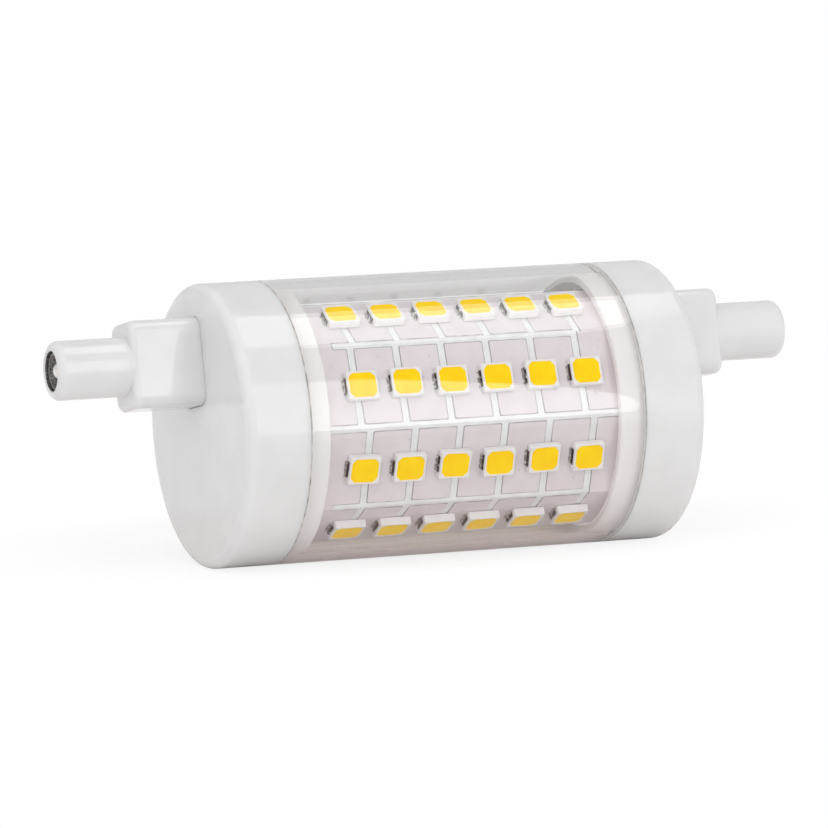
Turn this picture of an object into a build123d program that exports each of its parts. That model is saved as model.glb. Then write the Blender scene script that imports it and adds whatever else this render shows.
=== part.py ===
from build123d import *
import os
from math import atan, cos, floor, radians, sin, sqrt, tan

# A double-ended linear LED lamp. Two moulded end caps hold a clear tube. Inside the tube a thin metal-core
# sheet, folded along eight sides of a nonagon, carries the LED packages, one row on each facet. The ninth
# side is open, towards the bases. On each cap an insulating base, set off the tube's axis, ends in a round
# barrel with a dished contact. The driver that feeds the LEDs lies inside the folded sheet.
# Millimetres and degrees. X runs along the lamp, Z is up, the origin is the middle of the tube's axis.

# Lamp as a whole
OVERALL_LENGTH = 77.7  # from tip to tip, of the type sold as 78 mm
BODY_DIAMETER = 28.0
BASE_LEAN = 13.6  # turn about X, back from straight up, of the whole lamp as it lies

# Base: a block with two flats, then a barrel
BLOCK_LENGTH = 7.2
BLOCK_HEIGHT = 8.65
BLOCK_THICKNESS = 6.1
BLOCK_CORNER = 1.3
BLOCK_END_ROUND = 0.65
BARREL_LENGTH = 7.45
BARREL_DIAMETER = 5.85
BARREL_TIP_ROUND = 0.8
BARREL_ROOT = 0.3  # the barrel flares to its root over this length, and on through the block's end round
BARREL_ROOT_PROUD = 0.09  # radius added at the foot of that flare
FLANGE_PROUD = 0.8  # the flange inside the cap stands out this far all round the block
FLANGE_THICKNESS = 1.2
BASE_TO_WALL = 0.16  # from the flange's outer corners to the cap's inner wall
WIRE_BORE = 1.7
RECESS_DIAMETER = 3.9
RECESS_DEPTH = 3.0
RECESS_LEAD_IN = 0.15

# Contact: a metal button with a lip, a dished face with a domed middle, and a tail
CONTACT_GAP = 0.15  # radial gap to the wall of the recess
CONTACT_SUNK = 0.35  # lip of the button below the barrel's tip
LIP_WIDTH = 0.2
DISH_DEPTH = 0.7  # from the lip down to the foot of the dome
DOME_DIAMETER = 1.9
DOME_SUNK = 0.3  # top of the dome below the barrel's tip
TAIL_DIAMETER = 1.2
TAIL_LENGTH = 2.5

# End cap and tube
CAP_BAND = 6.5  # length of the cap's band, outside the tube
CAP_END_WALL = 1.6
CAP_EDGE_ROUND = 1.0
SLOT_CLEARANCE = 0.05
SPIGOT_REACH = 2.4  # collar inside the tube
SPIGOT_WALL = 0.75
SPIGOT_LEAD_IN = 0.2
TUBE_WALL = 1.0
TUBE_FIT = 0.05  # radial clearance of the collar in the tube
TUBE_EDGE = 0.12
RIB_COUNT = 6  # ribs in the cap that stop the folded sheet
RIB_WIDTH = 1.2
RIB_HEIGHT = 1.3

# Folded sheet that carries the LEDs
FACETS = 9  # sides of the nonagon, of which one is open
SHEET_THICKNESS = 0.8
SHEET_FIT = 0.07  # from the folds to the bore of the collar
SHEET_ENGAGE = 3.0  # length of sheet inside each cap, past the collar's end
FREE_EDGE = 3.0  # from the middle of the first and last facets to the sheet's free edges
ISLAND_STEP = 0.06  # height of the copper islands
GAP_WIDTH = 0.65  # between islands along a row
BAND_WIDTH = 0.75  # between islands across a fold
BAND_RUN_OUT = 1.6  # bands end this far before the first gap
EDGE_MARGIN = 0.3  # bare strip along the sheet's free edges

# LED package
LED_PITCH = 4.74
LED_LEFT_MARGIN = 3.97  # from the left collar's end to the first LED's middle
LED_RIGHT_MARGIN = 2.9  # least distance from the last LED's middle to the right collar's end
LED_LENGTH = 3.3
LED_WIDTH = 2.85
LED_HEIGHT = 0.75
LED_DRAFT = 3.0
WINDOW_LENGTH = 2.8
WINDOW_WIDTH = 2.4
WINDOW_CLIP = 0.45
WINDOW_DEPTH = 0.35
PHOSPHOR_SUNK = 0.03
LEAD_PROUD = 0.12
LEAD_WIDTH = 1.6
LEAD_HEIGHT = 0.5

# Driver board, in the upright frame of the bases
DRIVER_LEVEL = -3.0  # height of its middle plane
DRIVER_THICKNESS = 1.0
DRIVER_MARGIN = 1.4  # from its long edges to the folded sheet
RAIL_GAP = 0.3  # from the folded sheet's end to the rails
RAIL_GRIP = 1.5  # the rails reach this far over the board's long edges
RAIL_WALL = 0.85
RAIL_FIT = 0.05
RAIL_STOP = 0.7  # solid root of each rail, behind the board's end
RAIL_PLAY = 0.2  # between the board's end and that stop

# Driver components
PART_SPACING = 0.8
PART_SEAT = 0.05  # between a round component and the board it lies on
INPUT_CAPACITOR = (8.0, 12.0)  # diameter, length
OUTPUT_CAPACITOR = (6.3, 8.0)
CRIMP_WIDTH = 0.8
CRIMP_DEPTH = 0.4
CRIMP_PLACE = 1.4  # from the capacitor's sealed end
CHOKE_DIAMETER = 8.0
CHOKE_HEIGHT = 7.5
CHOKE_FLANGE = 1.2
CHOKE_POST = 3.4
WINDING_DIAMETER = 7.2
RESISTOR = (2.5, 6.5)  # diameter, length
RESISTOR_LEAD = 0.6
RESISTOR_LEAD_REACH = 1.2
BRIDGE_BODY = (4.7, 3.9, 1.6)  # length, width, height
BRIDGE_LEADS = (2.5, 0.6)  # pitch, width
BRIDGE_LEAD_COUNT = 2  # on a side
CHIP_BODY = (4.9, 3.9, 1.5)
CHIP_LEADS = (1.27, 0.4)
CHIP_LEAD_COUNT = 4
DIODE_BODY = (4.3, 2.6, 2.1)
DIODE_LEADS = (1.0, 1.4)
DIODE_LEAD_COUNT = 1
SMALL_LEAD_REACH = 1.0  # leads of the flat packages, out from the body
SMALL_LEAD_THICKNESS = 0.2
BRIDGE_PLACE = -9.0  # middles of the underside packages along X
CHIP_PLACE = 1.0
DIODE_PLACE = 8.5

# Wires
CONTACT_WIRE = 0.9
CONTACT_WIRE_BEND = 0.9
CONTACT_WIRE_DROP = 1.2  # from the base's inner end to the wire's run down to the board
FEED_WIRE = 0.6
FEED_WIRE_BEND = 0.8
FEED_WIRE_GAP = 1.1  # from the folded sheet's end to the wire's radial run
FEED_WIRE_LAND = 3.0  # length of its run along the facet
FEED_WIRE_LIFT = 0.02
FEED_ROWS = {"plus": 4, "minus": 5}

# Stations along X, on the right-hand end
TIP = OVERALL_LENGTH / 2
BLOCK_END = TIP - BARREL_LENGTH
CAP_FACE = BLOCK_END - BLOCK_LENGTH
CAP_INSIDE = CAP_FACE - CAP_END_WALL
CAP_SHOULDER = CAP_FACE - CAP_BAND
SPIGOT_END = CAP_SHOULDER - SPIGOT_REACH
FLANGE_INNER = CAP_INSIDE - FLANGE_THICKNESS
RECESS_FLOOR = TIP - RECESS_DEPTH
TAIL_END = RECESS_FLOOR - TAIL_LENGTH
SHEET_END = SPIGOT_END + SHEET_ENGAGE
RAIL_START = SHEET_END + RAIL_GAP
DRIVER_END = CAP_INSIDE - RAIL_STOP - RAIL_PLAY

# Radii about the tube's axis
BODY_RADIUS = BODY_DIAMETER / 2
TUBE_BORE = BODY_RADIUS - TUBE_WALL
SPIGOT_RADIUS = TUBE_BORE - TUBE_FIT
CAVITY_RADIUS = SPIGOT_RADIUS - SPIGOT_WALL

# The base sits as far off the axis as its flange goes into the cap
FLANGE_HEIGHT = BLOCK_HEIGHT + 2 * FLANGE_PROUD
FLANGE_WIDTH = BLOCK_THICKNESS + 2 * FLANGE_PROUD
FLANGE_REACH = sqrt((CAVITY_RADIUS - BASE_TO_WALL) ** 2 - (FLANGE_WIDTH / 2) ** 2)
BASE_OFFSET = FLANGE_REACH - FLANGE_HEIGHT / 2

# Facets of the folded sheet, each worked out facing up and then turned about X
ROWS = FACETS - 1
FACET_ANGLE = 360 / FACETS
FACET_DISTANCE = (CAVITY_RADIUS - SHEET_FIT) * cos(radians(FACET_ANGLE / 2))
FACET_WIDTH = 2 * FACET_DISTANCE * tan(radians(FACET_ANGLE / 2))
FACET_INNER = FACET_DISTANCE - SHEET_THICKNESS
LED_TOP = FACET_DISTANCE + LED_HEIGHT
WINDOW_FLOOR = LED_TOP - WINDOW_DEPTH
LED_SPAN = 2 * SPIGOT_END - LED_LEFT_MARGIN - LED_RIGHT_MARGIN
LED_COUNT = 1 + floor(LED_SPAN / LED_PITCH)
LED_PLACES = [LED_LEFT_MARGIN - SPIGOT_END + LED_PITCH * i for i in range(LED_COUNT)]

# Driver board and what lies along its top, from left to right
DRIVER_TOP = DRIVER_LEVEL + DRIVER_THICKNESS / 2
DRIVER_UNDER = DRIVER_LEVEL - DRIVER_THICKNESS / 2
DRIVER_HALF = sqrt((FACET_INNER - DRIVER_MARGIN) ** 2 - DRIVER_UNDER ** 2)
TOP_ROW_LENGTH = INPUT_CAPACITOR[1] + CHOKE_DIAMETER + OUTPUT_CAPACITOR[0] + 2 * PART_SPACING
INPUT_CAPACITOR_PLACE = -TOP_ROW_LENGTH / 2 + INPUT_CAPACITOR[1] / 2
CHOKE_PLACE = INPUT_CAPACITOR_PLACE + INPUT_CAPACITOR[1] / 2 + PART_SPACING + CHOKE_DIAMETER / 2
OUTPUT_CAPACITOR_PLACE = CHOKE_PLACE + CHOKE_DIAMETER / 2 + PART_SPACING + OUTPUT_CAPACITOR[0] / 2
RESISTOR_SIDE = INPUT_CAPACITOR[0] / 2 + PART_SPACING + RESISTOR[0] / 2

LEAN = Rot(-BASE_LEAN, 0, 0)
END_FOR_END = Rot(0, 0, 180)


def box_between(low, high):
    """A box from its lowest corner to its highest."""
    size = [b - a for a, b in zip(low, high)]
    middle = [(a + b) / 2 for a, b in zip(low, high)]
    return Pos(*middle) * Box(*size)


def turned(points):
    """A solid of revolution about X, from the corners (x, radius) of its half section."""
    return revolve(make_face(Polyline(*[(x, 0, r) for x, r in points], close=True)), Axis.X)


def rounded_bar(width, height, corner, start, end):
    """A bar along X with rounded long edges, on the base's own axis."""
    section = Plane.YZ.offset(start) * Pos(0, BASE_OFFSET) * RectangleRounded(width, height, corner)
    return extrude(section, end - start)


def wire(points, bend, diameter):
    """A round wire along straight runs joined by arcs."""
    path = FilletPolyline(*points, radius=bend)
    return sweep((path ^ 0) * Circle(diameter / 2), path=path)


def row_angle(row):
    """Angle about X of a row's facet, counted from the open side and from facing up towards the front."""
    return FACET_ANGLE * row - BASE_LEAN


def facet_turn(row):
    """Turn that brings a facet's pieces from the top to its row."""
    return Rot(row_angle(row), 0, 0)


def end_cap():
    """Right-hand cap, upright: band, end wall with the base's slot, collar, stop ribs and driver rails."""
    shell = turned([
        (SPIGOT_END, CAVITY_RADIUS), (SPIGOT_END, SPIGOT_RADIUS), (CAP_SHOULDER, SPIGOT_RADIUS),
        (CAP_SHOULDER, BODY_RADIUS), (CAP_FACE, BODY_RADIUS), (CAP_FACE, 0), (CAP_INSIDE, 0),
        (CAP_INSIDE, CAVITY_RADIUS),
    ])
    rims = shell.edges().filter_by(GeomType.CIRCLE)
    face_rim = rims.group_by(Axis.X)[-1].sort_by(SortBy.RADIUS)[-1]
    shell = fillet(face_rim, CAP_EDGE_ROUND)
    rims = shell.edges().filter_by(GeomType.CIRCLE)
    mouth_rim = rims.group_by(Axis.X)[0].sort_by(SortBy.RADIUS)[-1]
    shell = chamfer(mouth_rim, SPIGOT_LEAD_IN)

    rooted = CAP_INSIDE + CAP_END_WALL / 2
    rib = box_between(
        (SHEET_END, -RIB_WIDTH / 2, CAVITY_RADIUS - RIB_HEIGHT),
        (rooted, RIB_WIDTH / 2, (CAVITY_RADIUS + BODY_RADIUS) / 2),
    )
    for i in range(RIB_COUNT):
        shell += Rot((i + 0.5) * 360 / RIB_COUNT, 0, 0) * rib

    slot_half = DRIVER_THICKNESS / 2 + RAIL_FIT
    rail_half = slot_half + RAIL_WALL
    rail = box_between(
        (RAIL_START, DRIVER_HALF - RAIL_GRIP, DRIVER_LEVEL - rail_half),
        (rooted, DRIVER_HALF + RAIL_FIT + RAIL_WALL, DRIVER_LEVEL + rail_half),
    )
    rail -= box_between(
        (RAIL_START, 0, DRIVER_LEVEL - slot_half),
        (CAP_INSIDE - RAIL_STOP, DRIVER_HALF + RAIL_FIT, DRIVER_LEVEL + slot_half),
    )
    shell += [rail, mirror(rail, Plane.XZ)]

    slot = rounded_bar(
        BLOCK_THICKNESS + 2 * SLOT_CLEARANCE, BLOCK_HEIGHT + 2 * SLOT_CLEARANCE,
        BLOCK_CORNER + SLOT_CLEARANCE, FLANGE_INNER, BLOCK_END,
    )
    return shell - slot


def clear_tube():
    """Clear tube, seated between the two caps' shoulders."""
    ring = turned([
        (-CAP_SHOULDER, TUBE_BORE), (-CAP_SHOULDER, BODY_RADIUS),
        (CAP_SHOULDER, BODY_RADIUS), (CAP_SHOULDER, TUBE_BORE),
    ])
    rims = ring.edges().filter_by(GeomType.CIRCLE).group_by(SortBy.RADIUS)[-1]
    return chamfer(rims, TUBE_EDGE)


def base():
    """Right-hand base, upright: flange inside the cap, block with flats, barrel with the contact's recess."""
    block = rounded_bar(BLOCK_THICKNESS, BLOCK_HEIGHT, BLOCK_CORNER, FLANGE_INNER, BLOCK_END)
    block = fillet(block.faces().sort_by(Axis.X)[-1].edges(), BLOCK_END_ROUND)
    flange = rounded_bar(FLANGE_WIDTH, FLANGE_HEIGHT, BLOCK_CORNER + FLANGE_PROUD, FLANGE_INNER, CAP_INSIDE)
    radius = BARREL_DIAMETER / 2
    foot = BLOCK_END - BLOCK_END_ROUND
    barrel = turned([
        (foot, 0), (foot, radius + BARREL_ROOT_PROUD), (BLOCK_END + BARREL_ROOT, radius),
        (TIP, radius), (TIP, 0),
    ])
    barrel = fillet(barrel.edges().filter_by(GeomType.CIRCLE).sort_by(Axis.X)[-1], BARREL_TIP_ROUND)
    recess = RECESS_DIAMETER / 2
    hollow = turned([
        (FLANGE_INNER, 0), (FLANGE_INNER, WIRE_BORE / 2), (RECESS_FLOOR, WIRE_BORE / 2),
        (RECESS_FLOOR, recess), (TIP - RECESS_LEAD_IN, recess), (TIP, recess + RECESS_LEAD_IN), (TIP, 0),
    ])
    on_axis = Pos(0, 0, BASE_OFFSET)
    return block + flange + on_axis * barrel - on_axis * hollow


def contact():
    """Right-hand contact, upright: seated on the recess's floor, its tail in the wire's bore."""
    rim = RECESS_DIAMETER / 2 - CONTACT_GAP
    lip = TIP - CONTACT_SUNK
    dome = DOME_DIAMETER / 2
    dome_foot = lip - DISH_DEPTH
    dome_top = TIP - DOME_SUNK
    rise = dome_top - dome_foot
    ball = (dome ** 2 + rise ** 2) / (2 * rise)
    half_way = atan(rise / dome)
    shoulder = (dome_top - ball + ball * cos(half_way), 0, ball * sin(half_way))
    outline = Polyline(
        (dome_top, 0, 0), (TAIL_END, 0, 0), (TAIL_END, 0, TAIL_DIAMETER / 2),
        (RECESS_FLOOR, 0, TAIL_DIAMETER / 2), (RECESS_FLOOR, 0, rim), (lip, 0, rim),
        (lip, 0, rim - LIP_WIDTH), (dome_foot, 0, dome),
    )
    crown = ThreePointArc((dome_foot, 0, dome), shoulder, (dome_top, 0, 0))
    return Pos(0, 0, BASE_OFFSET) * revolve(make_face(outline + crown), Axis.X)


def led_board():
    """Sheet folded into a tube with one side open, and gaps between its copper islands."""
    turn = 90 - FACET_ANGLE / 2
    outside = RegularPolygon(FACET_DISTANCE, FACETS, major_radius=False, rotation=turn)
    inside = RegularPolygon(FACET_INNER, FACETS, major_radius=False, rotation=turn)
    section = outside - inside - open_side()
    sheet = extrude(Plane.YZ.offset(-SHEET_END) * section, 2 * SHEET_END)
    cuts = [cut for row in range(1, ROWS + 1) for cut in island_gaps(row)]
    return facet_turn(0) * (sheet - cuts)


def open_side():
    """What is cut from the sheet's section: the open facet, and its neighbours past their free edges."""
    turn = radians(FACET_ANGLE)
    left = []
    for level in (FACET_INNER - SHEET_THICKNESS, 2 * FACET_DISTANCE):
        left.append((FREE_EDGE * cos(turn) - level * sin(turn), FREE_EDGE * sin(turn) + level * cos(turn)))
    right = [(-across, level) for across, level in reversed(left)]
    return Polygon(*left, *right, align=None)


def island_gaps(row):
    """Cuts between the islands of one row, before the open side's turn."""
    low, high = FACET_DISTANCE - ISLAND_STEP, FACET_DISTANCE + ISLAND_STEP
    edge = FACET_WIDTH / 2
    band = edge - BAND_WIDTH / 2
    cuts = [
        box_between((x - GAP_WIDTH / 2, -edge, low), (x + GAP_WIDTH / 2, edge, high)) for x in LED_PLACES
    ]
    for side, fold in ((1, row - 1), (-1, row)):
        if fold in (0, ROWS):
            start, end = -SHEET_END, SHEET_END
            near, far = sorted((side * (FREE_EDGE - EDGE_MARGIN), side * edge))
        else:
            start, end = band_reach(fold)
            near, far = sorted((side * band, side * edge))
        cuts.append(box_between((start, near, low), (end, far, high)))
    return [Rot(FACET_ANGLE * row, 0, 0) * cut for cut in cuts]


def band_reach(fold):
    """Where the gap along a fold starts and ends: every other one stops at the last gap of its rows."""
    joined_on_right = fold % 2 == 1
    start = LED_PLACES[0] - GAP_WIDTH / 2 - BAND_RUN_OUT
    end = LED_PLACES[-1] + GAP_WIDTH / 2 if joined_on_right else SHEET_END
    return start, end


def led_window(floor_level, top_level):
    """The clipped rectangle of the LED's window, as a plate between two levels."""
    plate = chamfer(Rectangle(WINDOW_LENGTH, WINDOW_WIDTH).vertices(), WINDOW_CLIP)
    return extrude(Pos(0, 0, floor_level) * plate, top_level - floor_level)


def led_housing():
    """White housing of one LED, facing up at X = 0."""
    foot = Pos(0, 0, FACET_DISTANCE) * Rectangle(LED_LENGTH, LED_WIDTH)
    return extrude(foot, LED_HEIGHT, taper=LED_DRAFT) - led_window(WINDOW_FLOOR, LED_TOP)


def led_phosphor():
    """Phosphor that fills the housing's window, a little below its rim."""
    return led_window(WINDOW_FLOOR, LED_TOP - PHOSPHOR_SUNK)


def led_lead(side):
    """Metal terminal at one end of the LED, side being -1 or 1."""
    near, far = sorted((side * LED_LENGTH / 2, side * (LED_LENGTH / 2 + LEAD_PROUD)))
    return box_between(
        (near, -LEAD_WIDTH / 2, FACET_DISTANCE), (far, LEAD_WIDTH / 2, FACET_DISTANCE + LEAD_HEIGHT)
    )


def led_row(row, pieces):
    """The same pieces at every LED of a row, as one group of separate solids."""
    return Compound([
        facet_turn(row) * Pos(x, 0, 0) * piece for x in LED_PLACES for piece in pieces
    ])


def driver_board():
    """Plain rectangular circuit board, upright."""
    return box_between(
        (-DRIVER_END, -DRIVER_HALF, DRIVER_UNDER), (DRIVER_END, DRIVER_HALF, DRIVER_TOP)
    )


def capacitor(diameter, length):
    """Electrolytic capacitor along X from 0, with its crimp."""
    radius = diameter / 2
    waist = radius - CRIMP_DEPTH
    crimp = CRIMP_PLACE + CRIMP_WIDTH
    return turned([
        (0, 0), (0, radius), (CRIMP_PLACE, radius), (CRIMP_PLACE, waist), (crimp, waist), (crimp, radius),
        (length, radius), (length, 0),
    ])


def input_capacitor():
    """Large capacitor, lying along the board."""
    diameter, length = INPUT_CAPACITOR
    place = Pos(INPUT_CAPACITOR_PLACE - length / 2, 0, DRIVER_TOP + PART_SEAT + diameter / 2)
    return place * capacitor(diameter, length)


def output_capacitor():
    """Small capacitor, lying across the board."""
    diameter, length = OUTPUT_CAPACITOR
    place = Pos(OUTPUT_CAPACITOR_PLACE, -length / 2, DRIVER_TOP + PART_SEAT + diameter / 2)
    return place * Rot(0, 0, 90) * capacitor(diameter, length)


def choke_core():
    """Drum core, standing on the board."""
    radius, post = CHOKE_DIAMETER / 2, CHOKE_POST / 2
    upper = CHOKE_HEIGHT - CHOKE_FLANGE
    drum = turned([
        (0, 0), (0, radius), (CHOKE_FLANGE, radius), (CHOKE_FLANGE, post), (upper, post), (upper, radius),
        (CHOKE_HEIGHT, radius), (CHOKE_HEIGHT, 0),
    ])
    return Pos(CHOKE_PLACE, 0, DRIVER_TOP) * Rot(0, -90, 0) * drum


def choke_winding():
    """Winding between the drum's flanges."""
    upper = CHOKE_HEIGHT - CHOKE_FLANGE
    inner, outer = CHOKE_POST / 2, WINDING_DIAMETER / 2
    coil = turned([(CHOKE_FLANGE, inner), (CHOKE_FLANGE, outer), (upper, outer), (upper, inner)])
    return Pos(CHOKE_PLACE, 0, DRIVER_TOP) * Rot(0, -90, 0) * coil


def fusible_resistor():
    """Resistor beside the large capacitor, carried by its bent leads."""
    diameter, length = RESISTOR
    level = diameter / 2 + PART_SEAT
    reach = length / 2 + RESISTOR_LEAD_REACH
    route = [(-reach, 0, 0), (-reach, 0, level), (reach, 0, level), (reach, 0, 0)]
    leads = wire(route, RESISTOR_LEAD, RESISTOR_LEAD)
    body = Pos(0, 0, level) * Rot(0, 90, 0) * Cylinder(diameter / 2, length)
    return Pos(INPUT_CAPACITOR_PLACE, RESISTOR_SIDE, DRIVER_TOP) * (body + leads)


def flat_package(body, leads, count):
    """A moulded package on the board's underside at X = 0, with bent leads along two sides."""
    length, width, height = body
    pitch, lead_width = leads
    mid = height / 2
    package = extrude(Rectangle(length, width), height)
    for i in range(count):
        x = (i - (count - 1) / 2) * pitch
        left, right = x - lead_width / 2, x + lead_width / 2
        out = width / 2 + SMALL_LEAD_REACH
        bend = width / 2 + SMALL_LEAD_REACH / 2
        arm = box_between((left, width / 4, mid), (right, bend, mid + SMALL_LEAD_THICKNESS))
        shank = box_between(
            (left, bend - SMALL_LEAD_THICKNESS, 0), (right, bend, mid + SMALL_LEAD_THICKNESS)
        )
        foot = box_between((left, bend - SMALL_LEAD_THICKNESS, 0), (right, out, SMALL_LEAD_THICKNESS))
        lead = arm + shank + foot
        package += [lead, mirror(lead, Plane.XZ)]
    return package


def underside(package, place):
    """Turns a package over and sets it against the board's underside."""
    return Pos(place, 0, DRIVER_UNDER) * Rot(180, 0, 0) * package


def contact_wire():
    """Right-hand wire, upright, from the contact's tail down to the driver board."""
    drop = FLANGE_INNER - CONTACT_WIRE_DROP
    points = [(TAIL_END, 0, BASE_OFFSET), (drop, 0, BASE_OFFSET), (drop, 0, DRIVER_TOP)]
    return wire(points, CONTACT_WIRE_BEND, CONTACT_WIRE)


def led_feed_wire(row):
    """Wire from the driver board's underside, past the folded sheet's end, on to a row's facet."""
    radius = FEED_WIRE / 2
    off_upright = radians(row_angle(row) + BASE_LEAN)
    start = DRIVER_UNDER / cos(off_upright) + radius * abs(tan(off_upright)) + FEED_WIRE_LIFT
    along = SHEET_END + FEED_WIRE_GAP
    level = FACET_DISTANCE + radius + FEED_WIRE_LIFT
    points = [(along, 0, start), (along, 0, level), (along - FEED_WIRE_LAND, 0, level)]
    return facet_turn(row) * wire(points, FEED_WIRE_BEND, FEED_WIRE)


parts = {"clear_tube": clear_tube(), "led_board": led_board(), "driver_board": LEAN * driver_board()}

for name, piece in (
    ("end_cap", end_cap()), ("base", base()), ("contact", contact()), ("contact_wire", contact_wire()),
):
    parts["right_" + name] = LEAN * piece
    parts["left_" + name] = LEAN * END_FOR_END * piece

for row in range(1, ROWS + 1):
    parts[f"led_housings_row_{row}"] = led_row(row, [led_housing()])
    parts[f"led_phosphors_row_{row}"] = led_row(row, [led_phosphor()])
    parts[f"led_leads_row_{row}"] = led_row(row, [led_lead(-1), led_lead(1)])

for name, piece in (
    ("input_capacitor", input_capacitor()),
    ("output_capacitor", output_capacitor()),
    ("choke_core", choke_core()),
    ("choke_winding", choke_winding()),
    ("fusible_resistor", fusible_resistor()),
    ("bridge_rectifier", underside(flat_package(BRIDGE_BODY, BRIDGE_LEADS, BRIDGE_LEAD_COUNT), BRIDGE_PLACE)),
    ("control_chip", underside(flat_package(CHIP_BODY, CHIP_LEADS, CHIP_LEAD_COUNT), CHIP_PLACE)),
    ("output_diode", underside(flat_package(DIODE_BODY, DIODE_LEADS, DIODE_LEAD_COUNT), DIODE_PLACE)),
):
    parts[name] = LEAN * piece

for pole, row in FEED_ROWS.items():
    parts["led_feed_wire_" + pole] = led_feed_wire(row)

os.makedirs("parts", exist_ok=True)
for name, piece in parts.items():
    export_step(piece, f"parts/{name}.step")
print(len(parts), "nodes,", LED_COUNT, "LEDs in a row, bases", round(BASE_OFFSET, 3), "mm off the axis")
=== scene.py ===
# %% [markdown]
# # A double-ended linear LED lamp
# The lamp is a clear tube between two white caps. Inside it, a thin board folded into eight facets carries
# rows of LEDs. A small white base on each cap ends in a barrel with a metal contact. The measured solids
# are the frame of this scene. The scene dresses them, and models finer meshes for the tube, the board and
# the LEDs.

# %% Load the measured lamp
from math import cos, pi, radians, sin, sqrt, tan

import bmesh
import bpy
from mathutils import Matrix, Quaternion, Vector


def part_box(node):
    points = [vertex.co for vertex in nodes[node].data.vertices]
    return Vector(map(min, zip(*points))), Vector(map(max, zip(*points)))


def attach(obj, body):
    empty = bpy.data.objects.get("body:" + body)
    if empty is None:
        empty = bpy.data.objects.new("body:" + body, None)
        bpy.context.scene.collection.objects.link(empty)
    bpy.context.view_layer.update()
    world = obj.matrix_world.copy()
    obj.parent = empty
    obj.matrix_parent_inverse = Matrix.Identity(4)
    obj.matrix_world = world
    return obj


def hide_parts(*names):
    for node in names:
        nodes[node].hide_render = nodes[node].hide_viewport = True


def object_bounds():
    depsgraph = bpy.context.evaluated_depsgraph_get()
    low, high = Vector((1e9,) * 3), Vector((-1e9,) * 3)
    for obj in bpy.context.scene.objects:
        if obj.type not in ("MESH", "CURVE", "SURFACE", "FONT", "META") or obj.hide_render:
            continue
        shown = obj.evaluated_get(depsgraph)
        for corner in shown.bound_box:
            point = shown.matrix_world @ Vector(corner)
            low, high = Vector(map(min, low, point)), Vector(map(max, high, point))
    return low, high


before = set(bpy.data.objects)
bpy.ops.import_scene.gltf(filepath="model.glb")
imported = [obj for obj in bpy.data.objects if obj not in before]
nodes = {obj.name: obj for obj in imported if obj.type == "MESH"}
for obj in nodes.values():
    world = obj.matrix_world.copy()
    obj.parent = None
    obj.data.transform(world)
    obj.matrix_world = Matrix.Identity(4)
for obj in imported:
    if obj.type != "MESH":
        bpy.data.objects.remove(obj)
cad_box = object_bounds()
MM = 0.001


def put(name, data):
    """A new object in the scene."""
    made = bpy.data.objects.new(name, data)
    bpy.context.scene.collection.objects.link(made)
    return made


print(len(nodes), "measured pieces, box", [round(v / MM, 2) for corner in cad_box for v in corner], "mm")

# %% [markdown]
# ## A small language for node trees
# A node tree can be built by naming every node and link, but then a simple sum takes six lines. Here one
# class wraps a socket. Arithmetic on it adds Math nodes, and one method adds any other node. The same class
# builds shaders, the world and Geometry Nodes.

# %% A socket that does arithmetic
NOISE_RANGE = (0.3, 0.7)  # most values of a noise lie between these


class Flow:
    """A socket of a node tree, or the bare tree before its first node."""

    def __init__(self, tree, socket=None):
        self.tree = tree
        self.socket = socket

    def node(self, kind, settings=None, sockets=None, output=0):
        """Adds a node: its settings first, then values or links for its sockets."""
        made = self.tree.nodes.new(kind)
        for name, value in (settings or {}).items():
            setattr(made, name, value)
        for key, value in (sockets or {}).items():
            if isinstance(value, Flow):
                self.tree.links.new(value.socket, made.inputs[key])
            else:
                made.inputs[key].default_value = value
        return Flow(self.tree, made.outputs[output] if made.outputs else None)

    def other(self, output):
        """Another output of the same node."""
        return Flow(self.tree, self.socket.node.outputs[output])

    def axes(self):
        """The X, Y and Z of this vector."""
        x = self.node("ShaderNodeSeparateXYZ", sockets={0: self})
        return x, x.other("Y"), x.other("Z")

    def maths(self, operation, first, second=0.0):
        return self.node("ShaderNodeMath", {"operation": operation}, {0: first, 1: second})

    def __add__(self, value):
        return self.maths("ADD", self, value)

    __radd__ = __add__

    def __sub__(self, value):
        return self.maths("SUBTRACT", self, value)

    def __rsub__(self, value):
        return self.maths("SUBTRACT", value, self)

    def __mul__(self, value):
        return self.maths("MULTIPLY", self, value)

    __rmul__ = __mul__

    def __truediv__(self, value):
        return self.maths("DIVIDE", self, value)

    def __rtruediv__(self, value):
        return self.maths("DIVIDE", value, self)

    def __mod__(self, value):
        return self.maths("FLOORED_MODULO", self, value)

    def __rmod__(self, value):
        return self.maths("FLOORED_MODULO", value, self)

    def __abs__(self):
        return self.maths("ABSOLUTE", self)

    def largest(self, value):
        return self.maths("MAXIMUM", self, value)

    def hypotenuse(self, other):
        """Distance of a place whose two sides are this value and another."""
        return self.maths("SQRT", self * self + other * other)

    def step(self, start, end, low=0.0, high=1.0):
        """A soft step from low to high while this value goes from start to end."""
        ends = {"Value": self, "From Min": start, "From Max": end, "To Min": low, "To Max": high}
        return self.node("ShaderNodeMapRange", {"interpolation_type": "SMOOTHSTEP"}, ends, "Result")

    def blend(self, low, high):
        """A colour between two others, with this value as the share of the second."""
        return self.node("ShaderNodeMix", {"data_type": "RGBA"}, {0: self, 6: low, 7: high}, 2)

    def mottled(self, dark, light):
        """A colour that follows this noise from a darker one to a lighter one."""
        return self.step(*NOISE_RANGE).blend(dark, light)


def empty_tree(owner):
    """The cleared node tree of a material or a world."""
    owner.use_nodes = True
    owner.node_tree.nodes.clear()
    return Flow(owner.node_tree)


print("arithmetic on sockets is ready")

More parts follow.
